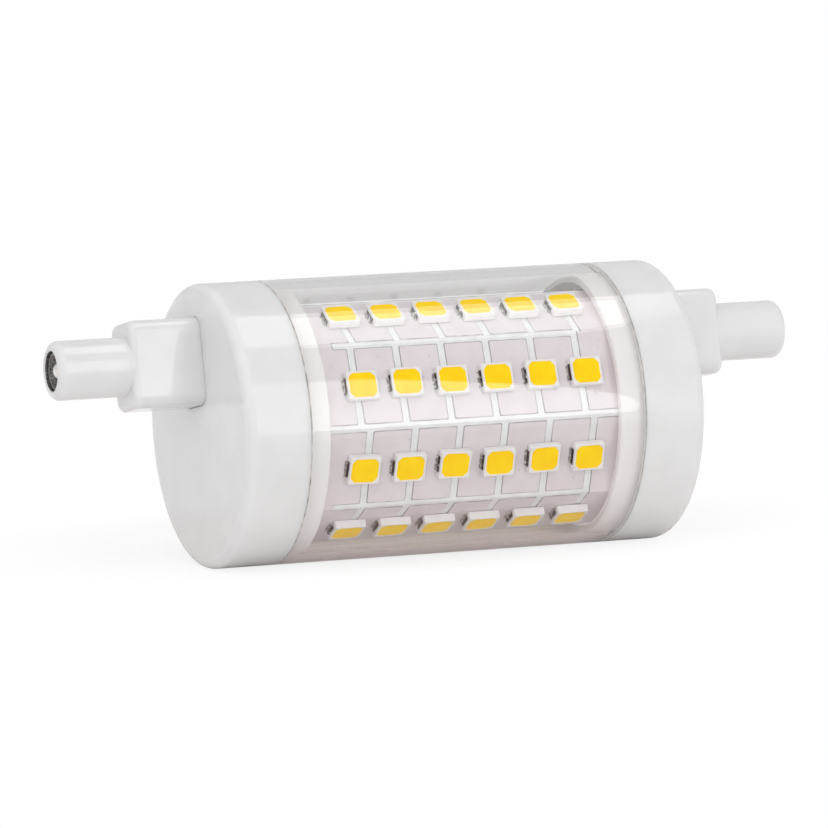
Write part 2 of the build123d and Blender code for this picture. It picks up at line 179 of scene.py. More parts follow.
# %% [markdown]
# ## Camera
# The photograph was taken from the front left, a little above the lamp, with a long lens. Azimuth, height,
# distance and lens come from fitting the lamp's outline and the corners of its LEDs. A small lens shift
# puts the middle of the lamp where it is in the picture.

# %% Camera
PICTURE_WIDTH = 828  # pixels, square
LAMP_MIDDLE = (426.6, 412.5)  # pixel where the lamp's origin shows
PIXELS_PER_MM = 10.076
VIEW_AZIMUTH = radians(-22.21)
VIEW_HEIGHT = radians(8.33)
VIEW_DISTANCE = 676 * MM
VIEW_ROLL = radians(-0.2)
SENSOR = 36.0

camera_data = bpy.data.cameras.new("camera")
camera_data.sensor_width = SENSOR
camera_data.lens = SENSOR * PIXELS_PER_MM * VIEW_DISTANCE / MM / PICTURE_WIDTH
camera_data.shift_x = 0.5 - LAMP_MIDDLE[0] / PICTURE_WIDTH
camera_data.shift_y = LAMP_MIDDLE[1] / PICTURE_WIDTH - 0.5
camera = put("camera", camera_data)
towards_camera = Vector((
    sin(VIEW_AZIMUTH) * cos(VIEW_HEIGHT), -cos(VIEW_AZIMUTH) * cos(VIEW_HEIGHT), sin(VIEW_HEIGHT)
))
camera.location = towards_camera * VIEW_DISTANCE
turn = towards_camera.to_track_quat("Z", "Y") @ Quaternion((0, 0, 1), VIEW_ROLL)
camera.rotation_euler = turn.to_euler()
bpy.context.scene.camera = camera
bpy.context.scene.view_settings.view_transform = "Standard"
print("camera with a lens of", round(camera_data.lens, 1), "mm")

# %% [markdown]
# ## Studio
# The reflections in the tube show two softboxes: one overhead, one in front to the right, both with sharp
# edges. The front one leans a little, because its edge crosses the tube at a slant. Between and above them
# the room is dim, or the yellow of the LEDs would wash out. The horizon is white, and the left of the room
# is pale, which fills the shadows on the left cap. A ring of lamps could light all of that, but the tube
# would mirror each of them, so a world of a few soft zones does it.

# %% World: white at the horizon, dim overhead
HORIZON_TOP = radians(10)
DIM_FROM = radians(30)
DIM_LEVEL = 0.16
BACK_LEVEL = 0.66  # behind the lamp, where the tube's upper edge looks
FRONT_TO_BACK = (-0.1, 0.2)  # from the front of the room to its back, as the Y of a direction
LEFT_LEVEL = 0.4  # of the room on the left, which the tube doesn't mirror towards the camera
FRONT_GAIN = 0.82  # added to it from the side to the front
TOP_GAIN = 0.74  # and from the side to the top
LEFT_EDGE = (0.05, 0.25)  # how far to the right that room reaches, as the X of a direction

world = bpy.data.worlds.new("studio")
bpy.context.scene.world = world
sky = empty_tree(world)
rightwards, backwards, upwards = sky.node("ShaderNodeTexCoord", output="Generated").axes()
left_room = LEFT_LEVEL + FRONT_GAIN * (-1 * backwards).largest(0.0) + TOP_GAIN * upwards.largest(0.0)
overhead = rightwards.step(*LEFT_EDGE, left_room, DIM_LEVEL)
in_front = upwards.step(sin(HORIZON_TOP), sin(DIM_FROM), 1.0, overhead)
at_back = upwards.step(sin(DIM_FROM), sin(2 * DIM_FROM), BACK_LEVEL, overhead)
level = backwards.step(*FRONT_TO_BACK, in_front, at_back)
light = sky.node("ShaderNodeBackground", sockets={"Color": (1, 1, 1, 1), "Strength": level})
sky.node("ShaderNodeOutputWorld", sockets={"Surface": light})
print("world fades to", DIM_LEVEL, "overhead, and to", LEFT_LEVEL, "on the left")

# %% Softboxes
SOFTBOX_DISTANCE = 0.9
SOFTBOX_WIDTH = radians(14)


def softbox(name, radiance, to_the_right, height, spread, facing, roll=0.0):
    """A rectangular lamp: the X of its direction, then angles up from the front: of its middle, from edge
    to edge, and of the direction that its plane faces. Roll leans its upper edge to the left."""
    data = bpy.data.lights.new(name, "AREA")
    data.shape = "RECTANGLE"
    data.size = 2 * SOFTBOX_DISTANCE * tan(SOFTBOX_WIDTH / 2)
    data.size_y = 2 * SOFTBOX_DISTANCE * tan(spread / 2)
    data.energy = radiance * pi * data.size * data.size_y
    across = sqrt(1 - to_the_right ** 2)
    outward = Vector((to_the_right, -across * cos(height), across * sin(height)))
    faced = Vector((to_the_right, -across * cos(facing), across * sin(facing)))
    upright = Quaternion(faced, roll) @ Vector((0, sin(facing), cos(facing)))
    turn = Matrix((upright.cross(faced), upright, faced)).transposed()
    box = put(name, data)
    box.location = outward * SOFTBOX_DISTANCE
    box.rotation_euler = turn.to_euler()
    box.visible_camera = False
    print(name, round(data.energy, 1), "watts")


softbox(
    "softbox_overhead", radiance=3.2, to_the_right=0.318, height=radians(87.5), spread=radians(31),
    facing=radians(95.5),
)
softbox(
    "softbox_in_front", radiance=2.75, to_the_right=0.2894, height=radians(17.4), spread=radians(40.8),
    facing=radians(17.4), roll=radians(5.2),
)

# %% [markdown]
# ## White mouldings
# The caps and the bases are moulded from white plastic. They have a faint mottle and a wavy skin, which
# bends the edges of the softbox reflections as on the real caps. A painted texture could show that, but it
# would need unwrapped meshes. Here each finish is one short function that makes a material from noise on
# Object coordinates.

# %% Helpers for materials


def new_finish(name):
    """An empty material, and the Object coordinates in its tree."""
    material = bpy.data.materials.new(name)
    return material, empty_tree(material).node("ShaderNodeTexCoord", output="Object")


def close_finish(material, shader):
    """Ends the tree of a material with its shader."""
    shader.node("ShaderNodeOutputMaterial", sockets={"Surface": shader})
    return material


def principled(material, sockets):
    """Ends the tree of a material with one Principled shader."""
    shader = Flow(material.node_tree).node("ShaderNodeBsdfPrincipled", sockets=sockets)
    return close_finish(material, shader)


def noise(place, scale, detail=2.0, roughness=0.5):
    """Cloudy values about 0.5, with scale features to the metre."""
    sockets = {"Vector": place, "Scale": scale, "Detail": detail, "Roughness": roughness}
    return place.node("ShaderNodeTexNoise", sockets=sockets)


def raised(height):
    """A normal bent by a height in metres."""
    return height.node("ShaderNodeBump", sockets={"Strength": 1.0, "Distance": 1.0, "Height": height})


def shade(colour, factor):
    """A colour made darker or lighter, as a socket value."""
    return tuple(min(1.0, c * factor) for c in colour[:3]) + (1.0,)


print("helpers for materials are ready")

# %% Where the zones of the mouldings lie
ZONE_EDGE = 0.05 * MM  # over which one zone of a finish goes over into the next
BORE_RADIUS = 12.2 * MM  # of the collars inside the tube
BORE_EDGE = (BORE_RADIUS + 2 * ZONE_EDGE, BORE_RADIUS + ZONE_EDGE)
GLOW_END = (20.5 * MM, 20 * MM)  # X where the glow on those bores fades out
RECESS_RADIUS = 1.95 * MM  # of the recess in each barrel's tip
LINING_EDGE = (RECESS_RADIUS + ZONE_EDGE, RECESS_RADIUS + 0.02 * MM)
PIT_RANGE = (0.35, 0.65)

collar_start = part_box("clear_tube")[1].x


def middle_of(node):
    low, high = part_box(node)
    return (low + high) / 2


def off_barrel_axis(place):
    """Distance from the line through both barrels and their contacts."""
    y, z = place.axes()[1:]
    middle = middle_of("left_contact")
    return (y - middle.y).hypotenuse(z - middle.z)


def pits(place):
    """Fine grain of dull, pitted metal."""
    return noise(place, 5200, 3.0, 0.6)


print("collars start", round(collar_start / MM, 2), "mm from the middle")

# %% White mouldings
MOULDED_WHITE = (0.755, 0.755, 0.755)
COLLAR_PAINTED_LIGHT_WHITE = (0.87, 0.845, 0.835, 1)  # of the collars: lighter and warmer than the caps' white, as painted light for the collars inside the tube
BORE_GLOW = (0.22, 0.21, 0.205, 1)


def white_moulding(name, gloss, wave, peel, softness, depth):
    """White plastic with mottle, a wavy skin, a fine orange peel, and light that spreads inside it. The
    collars in the tube are a lighter, warmer white, which is painted light for the light they get. They
    also let light through, and a weak glow on their bores is painted light for that. The contacts' recesses
    are lined with dull metal, whose dark tone is also painted shade of the recess."""
    material, place = new_finish(name)
    x, y, z = place.axes()
    in_bore = y.hypotenuse(z).step(*BORE_EDGE) * abs(x).step(*GLOW_END)
    on_collar = abs(x).step(collar_start, collar_start - ZONE_EDGE)
    mottle = noise(place, 260, 3.0)
    outside = mottle.mottled(shade(MOULDED_WHITE, 0.975), shade(MOULDED_WHITE, 1.01))
    white = on_collar.blend(outside, COLLAR_PAINTED_LIGHT_WHITE)
    # painted shade: the recess is lined with dull metal, and its dark tone also stands for the shade inside
    # the recess
    lining_and_painted_shade = off_barrel_axis(place).step(*LINING_EDGE)
    metal = pits(place).step(*PIT_RANGE).blend((0.07, 0.07, 0.068, 1), (0.36, 0.355, 0.35, 1))
    skin = noise(place, 150, 1.0) * wave + noise(place, 1900, 2.0) * peel
    return principled(material, {
        "Base Color": lining_and_painted_shade.blend(white, metal),
        "Roughness": (mottle * 0.04 + (gloss - 0.02)).largest(lining_and_painted_shade * 0.4).largest(on_collar * 0.5),
        "Metallic": lining_and_painted_shade * 0.7, "IOR": 1.5, "Specular IOR Level": 0.32, "Normal": raised(skin),
        "Subsurface Weight": softness, "Subsurface Radius": (1, 1, 1), "Subsurface Scale": depth,
        "Emission Color": in_bore.blend((0, 0, 0, 1), BORE_GLOW), "Emission Strength": 1.0,
    })


cap_white = white_moulding("cap_white", gloss=0.10, wave=9e-6, peel=2e-7, softness=0.4, depth=1.5 * MM)
base_white = white_moulding(
    "base_white", gloss=0.025, wave=4e-6, peel=5e-8, softness=0.1, depth=1.0 * MM
)
print("white mouldings:", cap_white.name, base_white.name)

# %% [markdown]
# ## Contacts
# The button in each barrel's tip is plated metal with a lip, a dark dish and a bright dome. It could be
# cut into zones with a finish for each. Its solid is turned about one axis, so a single finish can colour
# the zones by their distance from that axis.

# %% Contacts
DOME_EDGE = (0.95 * MM, 0.86 * MM)  # radii between which the bright dome goes over into the dish
LIP_INSIDE = (1.5 * MM, 1.62 * MM)
LIP_OUTSIDE = (1.76 * MM, 1.7 * MM)
LIP_SHINE = 0.15


def contact_plate():
    """Plated button: a bright dome, a dull dark dish and a slightly brighter lip."""
    material, place = new_finish("contact_plate")
    radius = off_barrel_axis(place)
    lip = radius.step(*LIP_INSIDE) * radius.step(*LIP_OUTSIDE)
    bright = radius.step(*DOME_EDGE).largest(lip * LIP_SHINE)
    grains = pits(place)
    dull = grains.step(*PIT_RANGE).blend((0.035, 0.034, 0.033, 1), (0.22, 0.215, 0.21, 1))
    return principled(material, {
        "Base Color": bright.blend(dull, (0.86, 0.85, 0.83, 1)), "Roughness": grains * 0.3 + 0.22,
        "Metallic": 0.9, "Normal": raised(grains * 8e-6),
    })


contact_metal = contact_plate()
print("contacts:", contact_metal.name)

# %% [markdown]
# ## Driver
# The driver's parts show through the open side of the board: capacitors in shrink sleeves with a pale
# stripe, a resistor with dark bands, a choke, flat packages and wires. Such marks could be drawn textures.
# Here they go by the distance to a part's axis or middle, and plain parts share one grainy finish.

# %% Grainy finishes of plain parts


def speckled(name, colour, grain, contrast, gloss, metal=0.0, relief=0.0):
    """A finish with grain: the same colour darker and lighter, in spots of a chosen size."""
    material, place = new_finish(name)
    grains = noise(place, grain, 4.0, 0.6)
    return principled(material, {
        "Base Color": grains.mottled(shade(colour, 1 - contrast), shade(colour, 1 + contrast)),
        "Roughness": grains * 0.2 + (gloss - 0.1), "Metallic": metal, "Normal": raised(grains * relief),
    })


# colour, grain, contrast, gloss, metal and relief, in the order that speckled takes them
BLACK_MOULD = ((0.018, 0.018, 0.018), 3000, 0.4, 0.6, 0.0, 5e-6)
WHITE_WIRE = ((0.75, 0.75, 0.73), 800, 0.05, 0.45, 0.0, 2e-6)
PLAIN_FINISHES = {
    "driver_board": ("driver_mask", (0.04, 0.22, 0.08), 900, 0.15, 0.35, 0.0, 2e-6),
    "choke_core": ("pressed_ferrite", (0.05, 0.05, 0.054), 2600, 0.4, 0.6, 0.0, 8e-6),
    "choke_winding": ("enamelled_copper", (0.62, 0.22, 0.07), 1500, 0.3, 0.3, 1.0, 2e-5),
    "bridge_rectifier": ("bridge_mould", *BLACK_MOULD),
    "control_chip": ("chip_mould", *BLACK_MOULD),
    "output_diode": ("diode_mould", *BLACK_MOULD),
    "left_contact_wire": ("left_wire_white", *WHITE_WIRE),
    "right_contact_wire": ("right_wire_white", *WHITE_WIRE),
    "led_feed_wire_plus": ("feed_wire_red", (0.5, 0.02, 0.015), 800, 0.1, 0.45, 0.0, 2e-6),
    "led_feed_wire_minus": ("feed_wire_black", (0.02, 0.02, 0.02), 800, 0.2, 0.45, 0.0, 2e-6),
}
finishes = {node: speckled(*values) for node, values in PLAIN_FINISHES.items()}
print("grainy finishes:", len(finishes))

# %% Sleeves with a stripe
BASE_LEAN = radians(13.6)  # turn of the bases and of the board's open side, back from straight up
UPRIGHT = Vector((0, sin(BASE_LEAN), cos(BASE_LEAN)))  # from the axis to the bases
STRIPE_HALF = radians(17)
STRIPE_EDGE = 1.05  # where the stripe has faded out, as a share of its half angle
INPUT_SLEEVE_RADIUS = 4.0 * MM
OUTPUT_SLEEVE_RADIUS = 3.15 * MM
INPUT_STRIPE = (UPRIGHT + Vector((0, 0.2, 0))).normalized()  # up and a little back
OUTPUT_STRIPE = (UPRIGHT + Vector((0.5, 0, 0))).normalized()  # up and to the right


def striped_sleeve(name, node, radius, towards):
    """Shrink sleeve of a capacitor, with a pale stripe along the side that faces a direction."""
    material, place = new_finish(name)
    sides = {0: place, 1: towards}
    reached = place.node("ShaderNodeVectorMath", {"operation": "DOT_PRODUCT"}, sides, "Value")
    off_middle = reached - middle_of(node).dot(towards)
    stripe = off_middle.step(radius * cos(STRIPE_HALF * STRIPE_EDGE), radius * cos(STRIPE_HALF))
    wrinkles = noise(place, 700, 4.0, 0.6)
    sleeve = wrinkles.mottled((0.014, 0.014, 0.018, 1), (0.03, 0.03, 0.036, 1))
    return principled(material, {
        "Base Color": stripe.blend(sleeve, (0.42, 0.42, 0.44, 1)), "Roughness": wrinkles * 0.2 + 0.2,
        "Normal": raised(wrinkles * 3e-6),
    })


for name, node, radius, towards in (
    ("capacitor_sleeve", "input_capacitor", INPUT_SLEEVE_RADIUS, INPUT_STRIPE),
    ("small_sleeve", "output_capacitor", OUTPUT_SLEEVE_RADIUS, OUTPUT_STRIPE),
):
    finishes[node] = striped_sleeve(name, node, radius, towards)
    print(node, "has a stripe", round(2 * radius * sin(STRIPE_HALF) / MM, 2), "mm wide")

# %% Resistor with bands
RESISTOR_BODY = 6.5 * MM
COAT_EDGE = 0.02 * MM
COLOUR_BAND_PITCH = 1.2 * MM
COLOUR_BAND_HALF = (0.28 * MM, 0.22 * MM)  # from where the band starts to where it is full


def banded_coat(name, node):
    """Coat of the resistor with dark bands, and its tinned leads past both ends."""
    material, place = new_finish(name)
    grains = noise(place, 1400, 4.0, 0.6)
    coat = grains.mottled((0.15, 0.22, 0.27, 1), (0.25, 0.37, 0.45, 1))
    along = place.axes()[0] - middle_of(node).x
    off_band = abs(along % COLOUR_BAND_PITCH - COLOUR_BAND_PITCH / 2)
    banded = off_band.step(*COLOUR_BAND_HALF).blend(coat, (0.05, 0.02, 0.012, 1))
    lead = abs(along).step(RESISTOR_BODY / 2, RESISTOR_BODY / 2 + COAT_EDGE)
    return principled(material, {
        "Base Color": lead.blend(banded, (0.72, 0.71, 0.69, 1)), "Roughness": grains * 0.2 + 0.35,
        "Metallic": lead * 0.9, "Normal": raised(grains * 8e-6),
    })


finishes["fusible_resistor"] = banded_coat("resistor_coat", "fusible_resistor")
print("resistor has a band every", COLOUR_BAND_PITCH / MM, "mm")

# %% Dress the measured pieces
for side in ("left", "right"):
    finishes[side + "_end_cap"] = cap_white
    finishes[side + "_base"] = base_white
    finishes[side + "_contact"] = contact_metal
for node, material in finishes.items():
    nodes[node].material_slots[0].material = material
print("dressed", len(finishes), "measured pieces")

# %% [markdown]
# ## Clear tube
# The tube is one clear moulding with fine rounded rims. The measured tube has flats that would show as
# kinks in its reflections, so it is turned again here as a lathe would, in many more steps. Its wall lets
# light straight through for shadows, or the board would lie in the dark. The cut ends are dull and their
# rims dusty, so both have finishes of their own.

# %% Mesh helpers
POINTS_MEET = 1e-7  # metres


def keep_mesh(name, bm, crease):
    """Makes an object from a bmesh, smooth apart from edges sharper than the crease angle."""
    bmesh.ops.remove_doubles(bm, verts=bm.verts, dist=POINTS_MEET)
    bmesh.ops.recalc_face_normals(bm, faces=bm.faces)
    mesh = bpy.data.meshes.new(name)
    bm.to_mesh(mesh)
    bm.free()
    mesh.shade_smooth()
    mesh.set_sharp_from_angle(angle=crease)
    return put(name, mesh)


def loft(bm, rings, closed_ends=True):
    """Joins rings of as many points each into a skin, and fills the first and last."""
    rows = [[bm.verts.new(point) for point in ring] for ring in rings]
    skin = []
    for low, high in zip(rows, rows[1:]):
        for i in range(len(low)):
            j = (i + 1) % len(low)
            skin.append(bm.faces.new((low[i], low[j], high[j], high[i])))
    if closed_ends:
        skin.append(bm.faces.new(rows[0][::-1]))
        skin.append(bm.faces.new(rows[-1]))
    return skin


print("points nearer than", POINTS_MEET / MM, "mm are joined")

# %% Turn the tube
TUBE_STEPS = 256
TUBE_WALL = 1.0 * MM
TUBE_RIM = 0.12 * MM
TUBE_CREASE = radians(50)
RIM_STEPS = 4
RIM_SUPPORT = 0.05 * MM  # a ring this far in keeps the rims from bending the long wall's normals
TUBE_END_GAP = 0.02 * MM  # keeps the cut ends clear of the caps' shoulders

tube_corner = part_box("clear_tube")[1]
tube_end = tube_corner.x - TUBE_END_GAP
tube_radius = tube_corner.z


def rim_arc(sign):
    """The rounded outer rim at one end of the tube, as (x, radius) pairs from the end face inwards."""
    turns = [i / RIM_STEPS * pi / 2 for i in range(RIM_STEPS + 1)]
    arc = [(tube_end - TUBE_RIM * (1 - cos(t)), tube_radius - TUBE_RIM * (1 - sin(t))) for t in turns]
    arc.append((tube_end - TUBE_RIM - RIM_SUPPORT, tube_radius))
    return [(sign * x, radius) for x, radius in arc]


outline = rim_arc(-1) + rim_arc(1)[::-1]
outline += [(tube_end, tube_radius - TUBE_WALL), (-tube_end, tube_radius - TUBE_WALL)]
bm = bmesh.new()
rings = []
for x, radius in outline + outline[:1]:
    turns = [2 * pi * i / TUBE_STEPS for i in range(TUBE_STEPS)]
    rings.append([(x, radius * cos(t), radius * sin(t)) for t in turns])
skin = loft(bm, rings, closed_ends=False)
# strips of faces, counted along the outline from the left end face
arcs = [*range(RIM_STEPS), *range(RIM_STEPS + 3, 2 * RIM_STEPS + 3)]
cut_ends = (2 * RIM_STEPS + 3, 2 * RIM_STEPS + 5)
for i, face in enumerate(skin):
    strip = i // TUBE_STEPS
    face.material_index = 1 if strip in arcs else 2 if strip in cut_ends else 0
tube = keep_mesh("clear_tube_turned", bm, TUBE_CREASE)
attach(tube, "root")
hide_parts("clear_tube")
print("tube of", len(tube.data.polygons), "faces")

# %% Finishes of the tube


def clear_plastic():
    """Polished clear plastic with a faint waviness."""
    material, place = new_finish("clear_plastic")
    waves = noise(place, 70, 1.0) * 4e-7
    smear = noise(place, 330, 3.0).step(0.5, 0.8, 0.0, 0.012)
    glass = place.node("ShaderNodeBsdfPrincipled", sockets={
        "Base Color": (0.985, 0.98, 0.98, 1), "Roughness": smear, "IOR": 1.38,
        "Transmission Weight": 1.0, "Normal": raised(waves),
    })
    through = place.node("ShaderNodeBsdfTransparent", sockets={"Color": (0.97, 0.97, 0.97, 1)})
    path = place.node("ShaderNodeLightPath", output="Is Shadow Ray")
    soft = path.largest(path.other("Is Diffuse Ray"))
    return close_finish(
        material, place.node("ShaderNodeMixShader", sockets={0: soft, 1: glass, 2: through})
    )


for material in (
    clear_plastic(), speckled("dusty_rim", (0.52, 0.49, 0.47), 900, 0.4, 0.5),
    speckled("sawn_end", (0.74, 0.73, 0.72), 1600, 0.06, 0.5),
):
    tube.data.materials.append(material)
    print("on the tube:", material.name)

# %% [markdown]
# ## Folded board
# The board is thin metal-core sheet under white solder mask, folded along eight sides of a nonagon. The
# ninth side, towards the bases, is open, and the bare core shows along its two cut edges. Raised copper
# islands carry the LEDs, with gaps between them under each LED and along the folds. A bump texture could
# fake them, but not their edges. So the sheet is one folded section drawn along the lamp, and the islands
# are tiles with a sloping edge. Those between two LEDs repeat, so Geometry Nodes set them out.

# %% Sizes of the board, worked out from the measured rows
FACETS = 9
ROWS = FACETS - 1
FACET_ANGLE = 2 * pi / FACETS
SHEET_THICKNESS = 0.8 * MM
SHEET_FIT = 0.07 * MM
FREE_EDGE = 3.0 * MM  # from the middle of the first and last facets to the sheet's cut edges
ISLAND_STEP = 0.06 * MM  # height of the islands over the sheet
LED_LENGTH = 3.3 * MM
LEDS_IN_ROW = 6

facet_distance = (BORE_RADIUS - SHEET_FIT) * cos(FACET_ANGLE / 2)
facet_half = facet_distance * tan(FACET_ANGLE / 2)
sheet_level = facet_distance - ISLAND_STEP
sheet_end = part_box("led_board")[1].x
row_low, row_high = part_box("led_housings_row_1")
first_led = row_low.x + LED_LENGTH / 2
led_pitch = (row_high.x - row_low.x - LED_LENGTH) / (LEDS_IN_ROW - 1)
print("facets", round(facet_distance / MM, 3), "mm out, LEDs every", round(led_pitch / MM, 3), "mm")

# %% Fold the sheet
FOLD_ROUND = 0.35 * MM
FOLD_STEPS = 4
BOARD_CREASE = radians(25)


def row_turn(row):
    """Turn about X of a row's facet, counted from the open side."""
    return FACET_ANGLE * row - BASE_LEAN


def facet_point(across, out, turn):
    """Y and Z of a place that lies so far across a facet and out from the axis."""
    return Vector((across * cos(turn) - out * sin(turn), across * sin(turn) + out * cos(turn)))


def fold_points(distance, fold_round):
    """Section of the folded sheet at a distance from the axis, from one cut edge all round to the other."""
    flat = (distance - fold_round) * tan(FACET_ANGLE / 2)
    points = []
    for row in range(1, ROWS + 1):
        turn = row_turn(row)
        start = FREE_EDGE if row == 1 else flat
        end = -FREE_EDGE if row == ROWS else -flat
        points += [facet_point(start, distance, turn), facet_point(end, distance, turn)]
        if row < ROWS:
            corner = facet_point(-flat, distance - fold_round, turn)
            bends = [turn + FACET_ANGLE * i / FOLD_STEPS for i in range(1, FOLD_STEPS)]
            points += [corner + facet_point(0, fold_round, bend) for bend in bends]
    return points


outside = fold_points(sheet_level, FOLD_ROUND)
inside = fold_points(facet_distance - SHEET_THICKNESS, FOLD_ROUND / 2)
section = outside + inside[::-1]
count = len(section)
bm = bmesh.new()
ends = [[bm.verts.new((x, y, z)) for y, z in section] for x in (-sheet_end, sheet_end)]
for i in range(count):
    j = (i + 1) % count
    side = bm.faces.new((ends[0][i], ends[0][j], ends[1][j], ends[1][i]))
    at_cut_edge = i in (len(outside) - 1, count - 1)
    side.material_index = 1 if at_cut_edge else 2 if i >= len(outside) else 0
for end in ends:
    for i in range(len(outside) - 1):
        bm.faces.new((end[i], end[i + 1], end[count - 2 - i], end[count - 1 - i]))
sheet = keep_mesh("folded_sheet", bm, BOARD_CREASE)
print("sheet folded over", len(outside), "points")

# %% A tile of copper under the mask
ISLAND_SLOPE = 0.09 * MM
ISLAND_CORNER = 0.18 * MM
CORNER_POINTS = 4  # steps round each corner
LEAST_ROUND = 0.001 * MM  # keeps the points of a sharp corner apart


def rounded(corners):
    """Rounds the corners (x, v, radius) of an outline, with as many points for each corner."""
    points = []
    for i, (x, v, radius) in enumerate(corners):
        here = Vector((x, v))
        before = (Vector(corners[i - 1][:2]) - here).normalized()
        after = (Vector(corners[(i + 1) % len(corners)][:2]) - here).normalized()
        for k in range(CORNER_POINTS + 1):
            t = k / CORNER_POINTS
            bow = before * (1 - t) ** 2 + after * t ** 2
            points.append(here + bow * max(radius, LEAST_ROUND))
    return points


def tile(bm, outline_of, row, turn=0.0):
    """A raised tile of a row: its foot on the sheet, its top drawn in by the slope."""
    edge = bm.faces.layers.float.get("copper_edge") or bm.faces.layers.float.new("copper_edge")
    facing = Matrix.Rotation(turn, 3, "X")
    rings = [
        [facing @ Vector((x, v, level)) for x, v in rounded(outline_of(row, inset))]
        for inset, level in ((0.0, sheet_level), (ISLAND_SLOPE, facet_distance))
    ]
    faces = loft(bm, rings)
    for face in faces[:-2]:
        face[edge] = 1.0


print("a tile's top is drawn in by", ISLAND_SLOPE / MM, "mm")

# %% Where the gaps and bands run
EDGE_MARGIN = 0.3 * MM
GAP_WIDTH = 0.65 * MM
GAP_SHIFTS = {2: -0.45 * MM, 3: 0.45 * MM, 4: 0.45 * MM}  # of a row's gaps from its LEDs, as in the photo
BAND_WIDTH = 0.75 * MM
BAND_RUN_OUTS = {1: 1.9 * MM, 2: 3.5 * MM, 3: 2.4 * MM}  # past the first gap, by fold
HIDDEN_RUN_OUT = 1.6 * MM  # of the folds that the photo doesn't show

band_edge = facet_half - BAND_WIDTH / 2
first_gap = first_led - GAP_WIDTH / 2
last_gap = first_led + led_pitch * (LEDS_IN_ROW - 1) + GAP_WIDTH / 2


def gap_shift(row):
    return GAP_SHIFTS.get(row, 0.0)


def band_start(fold):
    """Where the band along a fold begins, fold 1 being between rows 1 and 2."""
    return first_gap - BAND_RUN_OUTS.get(fold, HIDDEN_RUN_OUT)


def reach(row, side):
    """How far an island goes from its facet's middle, side being 1 towards the open side's first row."""
    at_cut_edge = (row, side) in ((1, 1), (ROWS, -1))
    return FREE_EDGE - EDGE_MARGIN if at_cut_edge else band_edge


def joined_at_right(fold):
    """Whether the rows on both sides of a fold are joined at the right end."""
    return 0 < fold < ROWS and fold % 2 == 1


print("gaps from", round(first_gap / MM, 2), "to", round(last_gap / MM, 2), "mm")

# %% Islands at the ends and between the LEDs


def middle_tile(row, inset):
    """Island between two LEDs, about X = 0."""
    half = (led_pitch - GAP_WIDTH) / 2 - inset
    low, high = -reach(row, -1) + inset, reach(row, 1) - inset
    corners = ((-half, low), (half, low), (half, high), (-half, high))
    return [(x, v, ISLAND_CORNER) for x, v in corners]


def left_tile(row, inset):
    """First island of a row: joined to its neighbours at its end, then drawn in at the bands."""
    below, above = band_start(row) - inset, band_start(row - 1) - inset
    nose = first_gap + gap_shift(row) - inset
    low, high = -reach(row, -1) + inset, reach(row, 1) - inset
    root_low = low if row == ROWS else -facet_half
    root_high = high if row == 1 else facet_half
    return [
        (-sheet_end, root_low, 0), (below, root_low, 0),
        (below, low, 0 if row == ROWS else ISLAND_CORNER), (nose, low, ISLAND_CORNER),
        (nose, high, ISLAND_CORNER), (above, high, 0 if row == 1 else ISLAND_CORNER),
        (above, root_high, 0), (-sheet_end, root_high, 0),
    ]


def right_tile(row, inset):
    """Last island of a row, which reaches over a fold to its neighbour where the two are joined."""
    upper, lower = joined_at_right(row - 1), joined_at_right(row)
    high = facet_half if upper else reach(row, 1) - inset
    low = -facet_half if lower else -reach(row, -1) + inset
    near = last_gap + gap_shift(row) + inset
    return [
        (near, low, 0 if lower else ISLAND_CORNER), (sheet_end, low, 0), (sheet_end, high, 0),
        (near, high, 0 if upper else ISLAND_CORNER),
    ]


bm = bmesh.new()
for row in range(1, ROWS + 1):
    for outline_of in (left_tile, right_tile):
        tile(bm, outline_of, row, row_turn(row))
end_tiles = keep_mesh("copper_end_tiles", bm, BOARD_CREASE)
print("end tiles of", len(end_tiles.data.polygons), "faces")

# %% [markdown]
# ## Setting out rows
# Six LEDs on each of eight facets are the same shape 48 times, but the solder set them a little askew, so
# no two sit quite alike. A loop could place them one by one. One tree of Geometry Nodes does it faster: it
# makes a point for each, turns a pattern to the facet of the point's row, and shifts and spins it by a
# small random amount. Patterns of one LED share a seed, so housing, phosphor and leads move together.

# %% The tree
TREE_INPUTS = (
    ("Pattern", "Object"), ("Material", "Material"), ("First", "Float"), ("Pitch", "Float"),
    ("In Row", "Int"), ("Rows", "Int"), ("First Turn", "Float"), ("Row Turn", "Float"),
    ("Shift", "Float"), ("Spin", "Float"), ("Seed", "Int"),
)


def random_share(seed):
    """A random number from -1 to 1 for each point."""
    return seed.node(
        "FunctionNodeRandomValue", {"data_type": "FLOAT"}, {2: -1.0, 3: 1.0, "Seed": seed}, 1
    )


def vector(flow, **parts):
    return flow.node("ShaderNodeCombineXYZ", sockets=parts)


def rotation(flow, **angles):
    return flow.node("FunctionNodeEulerToRotation", sockets={"Euler": vector(flow, **angles)})


